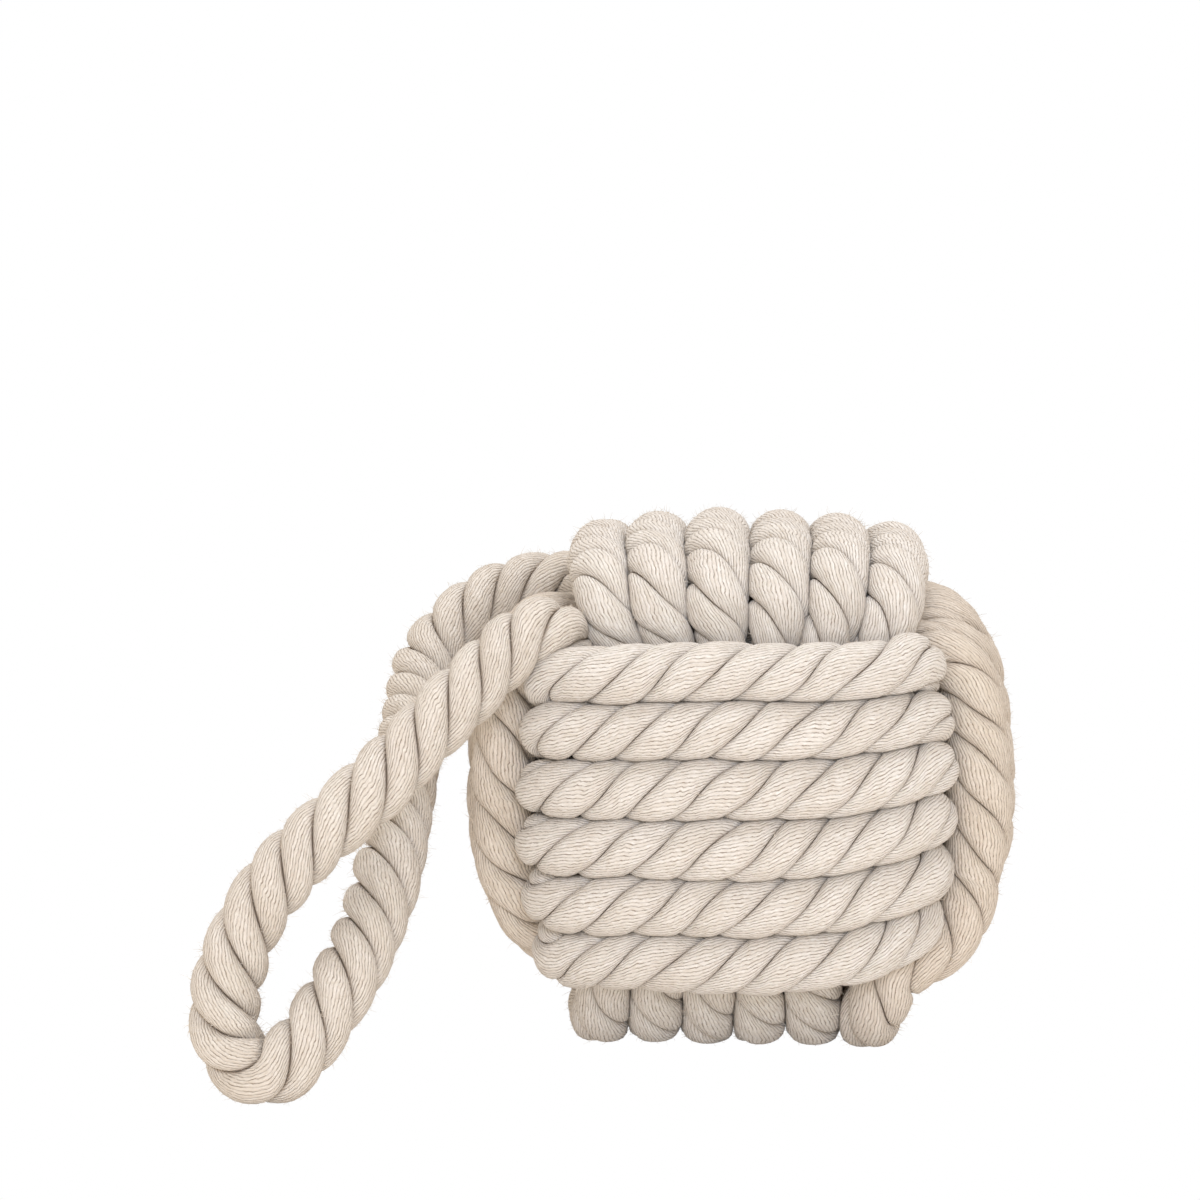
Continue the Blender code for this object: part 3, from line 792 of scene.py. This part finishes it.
def remap(tree, value, low, high, toLow=0.0, toHigh=1.0):
    node = addNode(tree, "ShaderNodeMapRange", {"clamp": True}, Value=value)
    for key, number in (("From Min", low), ("From Max", high), ("To Min", toLow), ("To Max", toHigh)):
        node.inputs[key].default_value = number
    return node.outputs[0]


# Colour, the numbers of the finish and bump of a surface
def surface(tree, shader, colour, finish, height=None, distance=None):
    tree.links.new(colour, shader.inputs["Base Color"])
    for socket, value in finish.items():
        shader.inputs[socket].default_value = value
    if height is not None:
        bump = addNode(tree, "ShaderNodeBump", Height=height, Distance=distance)
        tree.links.new(bump.outputs[0], shader.inputs["Normal"])


# A ramp is where an effect starts and is full, and how strong it is at either place
yarn = {
    "perStrand": 34,
    "turnsPerMetre": 33.0,      # how fast yarns turn round their strand
    "girth": 2.4,               # of a strand, in cm
    "wander": 2.4,              # in yarns
    "wanderScale": 0.9,         # per cm, as the scales after it
    "waver": 1.1,
    "waverScale": 4.5,
    "fibres": (3.0, 6.0),       # how often fibres change, across each yarn and along each cm
    # The lines between yarns are painted shade, for the shadow in the gaps between them
    "breaks": (1.3, 4.5),       # and how often the lines between yarns come and go
    "blotches": 0.8,
    "flecks": 12.0,
    "yellows": 2.6,
    # Width, core and strength of the painted shade in the gaps between yarns
    "lineWidth": 0.56,
    "lineCore": 0.20,
    "lineDepth": 0.85,
    "height": 0.00022,
    "crestPower": 0.6,
    "fibreHeight": 0.5,
    "colour": (0.700, 0.652, 0.596, 1.0),
    "pale": (0.800, 0.768, 0.725, 1.0),
    "bright": (0.900, 0.885, 0.860, 1.0),
    "shade": (0.520, 0.430, 0.325, 1.0),
    # The next two colours are painted shade: in the gaps between yarns, and in the grooves between strands
    "line": (0.250, 0.190, 0.135, 1.0),
    "strandGrooveShade": (0.330, 0.235, 0.150, 1.0),
    "fleck": (0.130, 0.095, 0.065, 1.0),
    "yellow": (0.700, 0.500, 0.130, 1.0),
    "paleRamp": (0.0, 1.0, 0.0, 0.7),
    "breakRamp": (0.42, 0.58, 0.08, 1.0),
    "shadeRamp": (0.46, 0.66, 0.0, 0.42),
    "brightRamp": (0.44, 0.30, 0.0, 0.70),
    "blotchRamp": (0.42, 0.70, 0.0, 0.16),
    "fleckRamp": (0.74, 0.78, 0.0, 0.6),
    "yellowRamp": (0.80, 0.84, 0.0, 0.5),
    # Where the painted groove shade starts and is full along the depth, and how strong it is
    "strandGrooveShadeRamp": (0.58, 0.71, 0.0, 0.75),
    "knotTone": (1.0, 1.0, 1.0, 1.0),
    # Painted warm shade: the side strands are tinted warmer and darker than the front's, for the warm light
    # they catch
    "sidesShadeTone": (0.946, 0.893, 0.828, 1.0),    # the side strands look warmer than the front's
    "warmPast": 0.06,           # that warmth goes on this far into the next winding
    "warmFade": 0.03,
    "strandApart": 9.0,         # added to a strand's length in its UV, to tell the three apart
    "handleTone": (0.945, 0.925, 0.895, 1.0),   # a little darker than the knot's rope
    "finish": {"Roughness": 0.93, "Specular IOR Level": 0.15, "Sheen Weight": 0.15, "Sheen Roughness": 0.6},
}


# Undyed cotton: pale yarns side by side round each strand, with painted shade as darker broken lines in the
# gaps between them, and painted shade in the grooves between strands. The warm stretch is where the rope's
# tone turns to the painted warm shade of the side strands, in metres along it.
def cottonMaterial(name, tone, warmStretch=None):
    made, tree, shader = newMaterial(name)
    uv = addNode(tree, "ShaderNodeUVMap", {"uv_map": "strand"})
    parts = addNode(tree, "ShaderNodeSeparateXYZ", Vector=uv.outputs[0])
    around, along = parts.outputs[0], parts.outputs[1]
    aroundCm = mathNode(tree, "MULTIPLY", around, yarn["girth"])
    alongCm = mathNode(tree, "MULTIPLY", along, 100.0)
    space = addNode(tree, "ShaderNodeCombineXYZ", X=aroundCm, Y=alongCm).outputs[0]

    def unevenness(scale, amount):
        wave = noiseNode(tree, space, scale, Detail=2.0)
        return mathNode(tree, "MULTIPLY", mathNode(tree, "SUBTRACT", wave, 0.5), amount)

    def alongYarns(often, detail):
        across, down = often
        place = addNode(tree, "ShaderNodeCombineXYZ", X=mathNode(tree, "MULTIPLY", phase, across),
                        Y=mathNode(tree, "MULTIPLY", alongCm, down)).outputs[0]
        return noiseNode(tree, place, 1.0, Detail=detail, Roughness=0.7)

    # Yarns are counted round the strand, and wander a little
    wobble = unevenness(yarn["wanderScale"], yarn["wander"])
    turned = mathNode(tree, "MULTIPLY", along, -yarn["perStrand"] * yarn["turnsPerMetre"])
    phase = mathNode(tree, "ADD", mathNode(tree, "MULTIPLY", around, float(yarn["perStrand"])), turned)
    phase = mathNode(tree, "ADD", phase, wobble)
    phase = mathNode(tree, "ADD", phase, unevenness(yarn["waverScale"], yarn["waver"]))
    crest = mathNode(tree, "ABSOLUTE", mathNode(tree, "SINE", mathNode(tree, "MULTIPLY", phase, math.pi)))
    number = mathNode(tree, "FLOOR", phase)
    tint = addNode(tree, "ShaderNodeTexWhiteNoise", {"noise_dimensions": "1D"}, W=number).outputs[0]

    # Fine fibres follow the yarns; breaks make the painted shade lines between yarns come and go
    fibre = alongYarns(yarn["fibres"], 4.0)
    breaks = alongYarns(yarn["breaks"], 3.0)
    blotch = noiseNode(tree, space, yarn["blotches"], Detail=3.0)
    fleck = noiseNode(tree, space, yarn["flecks"], Detail=2.0, Roughness=0.6)
    yellow = noiseNode(tree, space, yarn["yellows"], Detail=3.0, Roughness=0.6)
    depth = addNode(tree, "ShaderNodeAttribute", {"attribute_name": "depth"}).outputs["Fac"]

    # Painted shade in the gaps between yarns, darkest where each yarn's crest falls away, broken along them
    line = remap(tree, crest, yarn["lineWidth"], yarn["lineCore"])
    line = mathNode(tree, "MULTIPLY", line, remap(tree, breaks, *yarn["breakRamp"]))
    line = mathNode(tree, "MULTIPLY", line, yarn["lineDepth"])
    colour = mixColour(tree, remap(tree, tint, *yarn["paleRamp"]), yarn["colour"], yarn["pale"])
    colour = mixColour(tree, remap(tree, fibre, *yarn["shadeRamp"]), colour, yarn["shade"])
    colour = mixColour(tree, remap(tree, fibre, *yarn["brightRamp"]), colour, yarn["bright"])
    colour = mixColour(tree, remap(tree, blotch, *yarn["blotchRamp"]), colour, yarn["shade"])
    colour = mixColour(tree, line, colour, yarn["line"])
    colour = mixColour(tree, remap(tree, fleck, *yarn["fleckRamp"]), colour, yarn["fleck"])
    colour = mixColour(tree, remap(tree, yellow, *yarn["yellowRamp"]), colour, yarn["yellow"])
    # Painted shade in the grooves between strands, darker towards the rope's middle
    colour = mixColour(tree, remap(tree, depth, *yarn["strandGrooveShadeRamp"]), colour, yarn["strandGrooveShade"])
    # Painted warm shade on the side strands' winding, faded in and out along the rope
    if warmStretch:
        place = mathNode(tree, "MODULO", along, yarn["strandApart"])
        fromStart = mathNode(tree, "SUBTRACT", place, warmStretch[0])
        toEnd = mathNode(tree, "SUBTRACT", warmStretch[1], place)
        inside = mathNode(tree, "MINIMUM", fromStart, toEnd)
        tone = mixColour(tree, remap(tree, inside, 0.0, yarn["warmFade"]), tone, yarn["sidesShadeTone"])
    colour = mixColour(tree, 1.0, colour, tone, "MULTIPLY")
    height = mathNode(tree, "ADD", mathNode(tree, "POWER", crest, yarn["crestPower"]),
                      mathNode(tree, "MULTIPLY", fibre, yarn["fibreHeight"]))
    surface(tree, shader, colour, yarn["finish"], height, yarn["height"])
    print(f"{name} mixed")
    return made


def fuzzMaterial():
    made, tree, shader = newMaterial("cottonFuzz")
    place = objectPlace(tree)
    patches = remap(tree, noiseNode(tree, place, fuzz["patches"]), *fuzz["patchRamp"])
    surface(tree, shader, mixColour(tree, patches, fuzz["colour"], yarn["shade"]), fuzz["finish"])
    return made


twine = {
    "turns": 260.0,             # how close its bands lie
    "uneven": 1.5,
    "dark": (0.30, 0.22, 0.13, 1),
    "light": (0.58, 0.47, 0.31, 1),
    "height": 0.0002,
    "finish": {"Roughness": 0.55},
}


def twineMaterial():
    made, tree, shader = newMaterial("waxedTwine")
    place = objectPlace(tree)
    wave = addNode(tree, "ShaderNodeTexWave", {"wave_type": "BANDS"}, Vector=place, Scale=twine["turns"],
                   Distortion=twine["uneven"]).outputs["Fac"]
    surface(tree, shader, mixColour(tree, wave, twine["dark"], twine["light"]), twine["finish"], wave,
            twine["height"])
    return made


sand = {
    "grains": 1400.0,
    "grain": (0.72, 0.60, 0.42, 1),
    # Painted shade in the gaps between grains
    "between": (0.38, 0.28, 0.17, 1),
    "height": 0.0004,
    "finish": {"Roughness": 0.95},
}


def sandMaterial():
    made, tree, shader = newMaterial("drySand")
    place = objectPlace(tree)
    grain = addNode(tree, "ShaderNodeTexVoronoi", Vector=place, Scale=sand["grains"]).outputs["Distance"]
    # Grains pale at their middles and darker towards their edges, as painted shade between them
    surface(tree, shader, mixColour(tree, grain, sand["grain"], sand["between"]), sand["finish"], grain,
            sand["height"])
    return made


def repaint(material, *nodes):
    for node in nodes:
        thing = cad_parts[node]
        thing.data.materials.clear()
        thing.data.materials.append(material)
    print(f"{material.name} on {', '.join(nodes)}")


# The sand's bag

bag = {
    "cuts": 5,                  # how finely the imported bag's faces are divided
    "wrinkle": 0.0007,          # the cloth's folds stand out this far
    "wrinkleSize": 0.016,
    "fineWrinkles": 2.3,        # how many times finer the smaller ones are
    "pleat": 0.0011,            # and its pleats near the neck
    "pleats": 14,
    "pleatReach": 0.030,
    "pleatStart": 0.009,
    "tightness": 0.9,
    "weave": 900.0,
    "creases": 60.0,
    "creaseAndShadeRamp": (0.4, 0.7, 0, 0.4),
    "dark": (0.70, 0.63, 0.51, 1),
    "light": (0.80, 0.74, 0.63, 1),
    # Painted shade colour for the cloth's creases
    "creaseAndShade": (0.55, 0.46, 0.34, 1),
    "height": 0.0015,
    "finish": {"Roughness": 0.9},
}


def clothMaterial():
    made, tree, shader = newMaterial("calicoCloth")
    place = objectPlace(tree)
    weave = addNode(tree, "ShaderNodeTexChecker", Vector=place, Scale=bag["weave"]).outputs["Fac"]
    creaseAndShade = noiseNode(tree, place, bag["creases"], Detail=4.0)
    colour = mixColour(tree, weave, bag["dark"], bag["light"])
    # The crease pattern raises the cloth's bump and darkens its colour as painted shade in the creases
    colour = mixColour(tree, remap(tree, creaseAndShade, *bag["creaseAndShadeRamp"]), colour, bag["creaseAndShade"])
    surface(tree, shader, colour, bag["finish"], creaseAndShade, bag["height"])
    return made


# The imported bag's form, divided finely, with soft wrinkles and pleats to its neck
def gatheredBag(material):
    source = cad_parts["ballast_bag"]
    cloth = bmesh.new()
    cloth.from_mesh(source.data)
    cloth.transform(source.matrix_world)
    bmesh.ops.subdivide_edges(cloth, edges=cloth.edges, cuts=bag["cuts"], use_grid_fill=True, smooth=0.0)
    middle = Vector((0, 0, knot["centreHeight"]))
    toward = Vector((1, 1, 1)).normalized()         # the neck's way
    side = toward.orthogonal().normalized()
    other = toward.cross(side)
    tip = max((vert.co - middle).dot(toward) for vert in cloth.verts)
    for vert in cloth.verts:
        out = vert.co - middle
        fromNeck = tip - out.dot(toward)
        around = math.atan2(out.dot(other), out.dot(side))
        near = 1 - eased(fromNeck / bag["pleatReach"])
        coarse = noise.noise(vert.co / bag["wrinkleSize"])
        fine = noise.noise(vert.co * bag["fineWrinkles"] / bag["wrinkleSize"])
        stands = (0.5 + 0.5 * (coarse + 0.5 * fine)) * bag["wrinkle"] * (1 - near)
        atNeck = eased(fromNeck / bag["pleatStart"])
        stands += (0.5 + 0.5 * math.cos(bag["pleats"] * around)) * bag["pleat"] * near * atNeck
        vert.co += out.normalized() * max(stands, 0.0)
    mesh = bpy.data.meshes.new("clothBag")
    cloth.to_mesh(mesh)
    cloth.free()
    mesh.shade_smooth()
    mesh.materials.clear()
    mesh.materials.append(material)
    made = placed("clothBag", mesh)
    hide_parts("ballast_bag")
    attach(made, "knot")


# Studio

camera = {
    "elevation": 10.5,          # degrees, from the knot's middle
    "distance": 1.066,
    "lens": 116.0,
    "sensor": 36.0,
    "aim": (-0.0386, 0.0, 0.11665),
}

lamps = {
    "keyLight": {"at": (0.12, -1.5, 0.7), "aim": (0, 0, 0.06), "size": 0.5, "power": 6.9,
                 "colour": (0.89, 1.03, 1.28)},
    "topLight": {"at": (0.1, 0.2, 1.5), "aim": (0, 0, 0.1), "size": 1.0, "power": 12,
                 "colour": (0.97, 1.02, 1.10)},
    "lowLight": {"at": (-0.2, -1.3, 0.12), "aim": (-0.05, 0, 0.03), "size": 0.5, "power": 5,
                 "colour": (1.0, 0.96, 0.92)},
}

room = {
    "skyColour": (1.0, 0.88, 0.745, 1),
    "skyStrength": 0.73,
    "white": (1, 1, 1, 1),
    "floorSize": 6,
    "floorColour": (0.93, 0.89, 0.84, 1),
    "floorRoughness": 0.9,
}


def aimed(name, data, at, aim):
    made = bpy.data.objects.new(name, data)
    made.location = at
    made.rotation_euler = (Vector(aim) - made.location).to_track_quat("-Z", "Y").to_euler()
    bpy.context.scene.collection.objects.link(made)
    return made


def placeCamera():
    data = bpy.data.cameras.new("camera")
    data.lens = camera["lens"]
    data.sensor_width = camera["sensor"]
    data.sensor_fit = "HORIZONTAL"
    elevation = math.radians(camera["elevation"])
    middle = Vector((0, 0, knot["centreHeight"]))
    at = middle + camera["distance"] * Vector((0, -math.cos(elevation), math.sin(elevation)))
    bpy.context.scene.camera = aimed("camera", data, at, camera["aim"])
    print("camera in place")


def placeLamp(name, lamp):
    data = bpy.data.lights.new(name, "AREA")
    data.shape = "SQUARE"
    data.size = lamp["size"]
    data.energy = lamp["power"]
    data.color = lamp["colour"]
    aimed(name, data, lamp["at"], lamp["aim"])


# The camera sees plain white, and every other ray the usual shader, so that the white gives no light
def whiteToCamera(tree, usual, white, output):
    path = addNode(tree, "ShaderNodeLightPath")
    mixed = addNode(tree, "ShaderNodeMixShader", i0=path.outputs["Is Camera Ray"], i1=usual.outputs[0],
                    i2=white.outputs[0])
    tree.links.new(mixed.outputs[0], tree.nodes[output].inputs[0])


def studio():
    world = bpy.data.worlds.new("studio")
    bpy.context.scene.world = world
    world.use_nodes = True
    tree = world.node_tree
    background = tree.nodes["Background"]
    background.inputs["Color"].default_value = room["skyColour"]
    background.inputs["Strength"].default_value = room["skyStrength"]
    seen = addNode(tree, "ShaderNodeBackground", Color=room["white"], Strength=1.0)
    whiteToCamera(tree, background, seen, "World Output")
    for name, lamp in lamps.items():
        placeLamp(name, lamp)
    bpy.ops.mesh.primitive_plane_add(size=room["floorSize"], location=(0, 0, 0))
    floor = bpy.context.active_object
    floor.name = "floor"
    made, tree, shader = newMaterial("paleFloor")
    shader.inputs["Base Color"].default_value = room["floorColour"]
    shader.inputs["Roughness"].default_value = room["floorRoughness"]
    glow = addNode(tree, "ShaderNodeEmission", Color=room["white"], Strength=1.0)
    whiteToCamera(tree, shader, glow, "Material Output")
    floor.data.materials.append(made)
    bpy.context.scene.view_settings.view_transform = "Standard"
    bpy.context.scene.view_settings.look = "None"
    print("studio lit")


placeCamera()
knotLaid, knotEnds = layKnot()
handleLaid, handleEnds = layHandle()
sidesFrom, sidesTo = (float(knotLaid["along"][end]) for end in knotEnds[1:3])
knotCotton = cottonMaterial("cottonRope", yarn["knotTone"], (sidesFrom, sidesTo + yarn["warmPast"]))
handleCotton = cottonMaterial("handledCotton", yarn["handleTone"])
cottonFuzz = fuzzMaterial()
knotPlaces, handlePlaces = pressTogether([knotLaid, handleLaid])
placeHandle(handleLaid, handlePlaces, handleEnds)
placeKnot(knotLaid, knotPlaces, knotEnds)
repaint(twineMaterial(), "start_whipping", "tail_whipping", "handle_whipping_front", "handle_whipping_rear",
        "bag_tie")
gatheredBag(clothMaterial())
repaint(sandMaterial(), "ballast_sand")
studio()
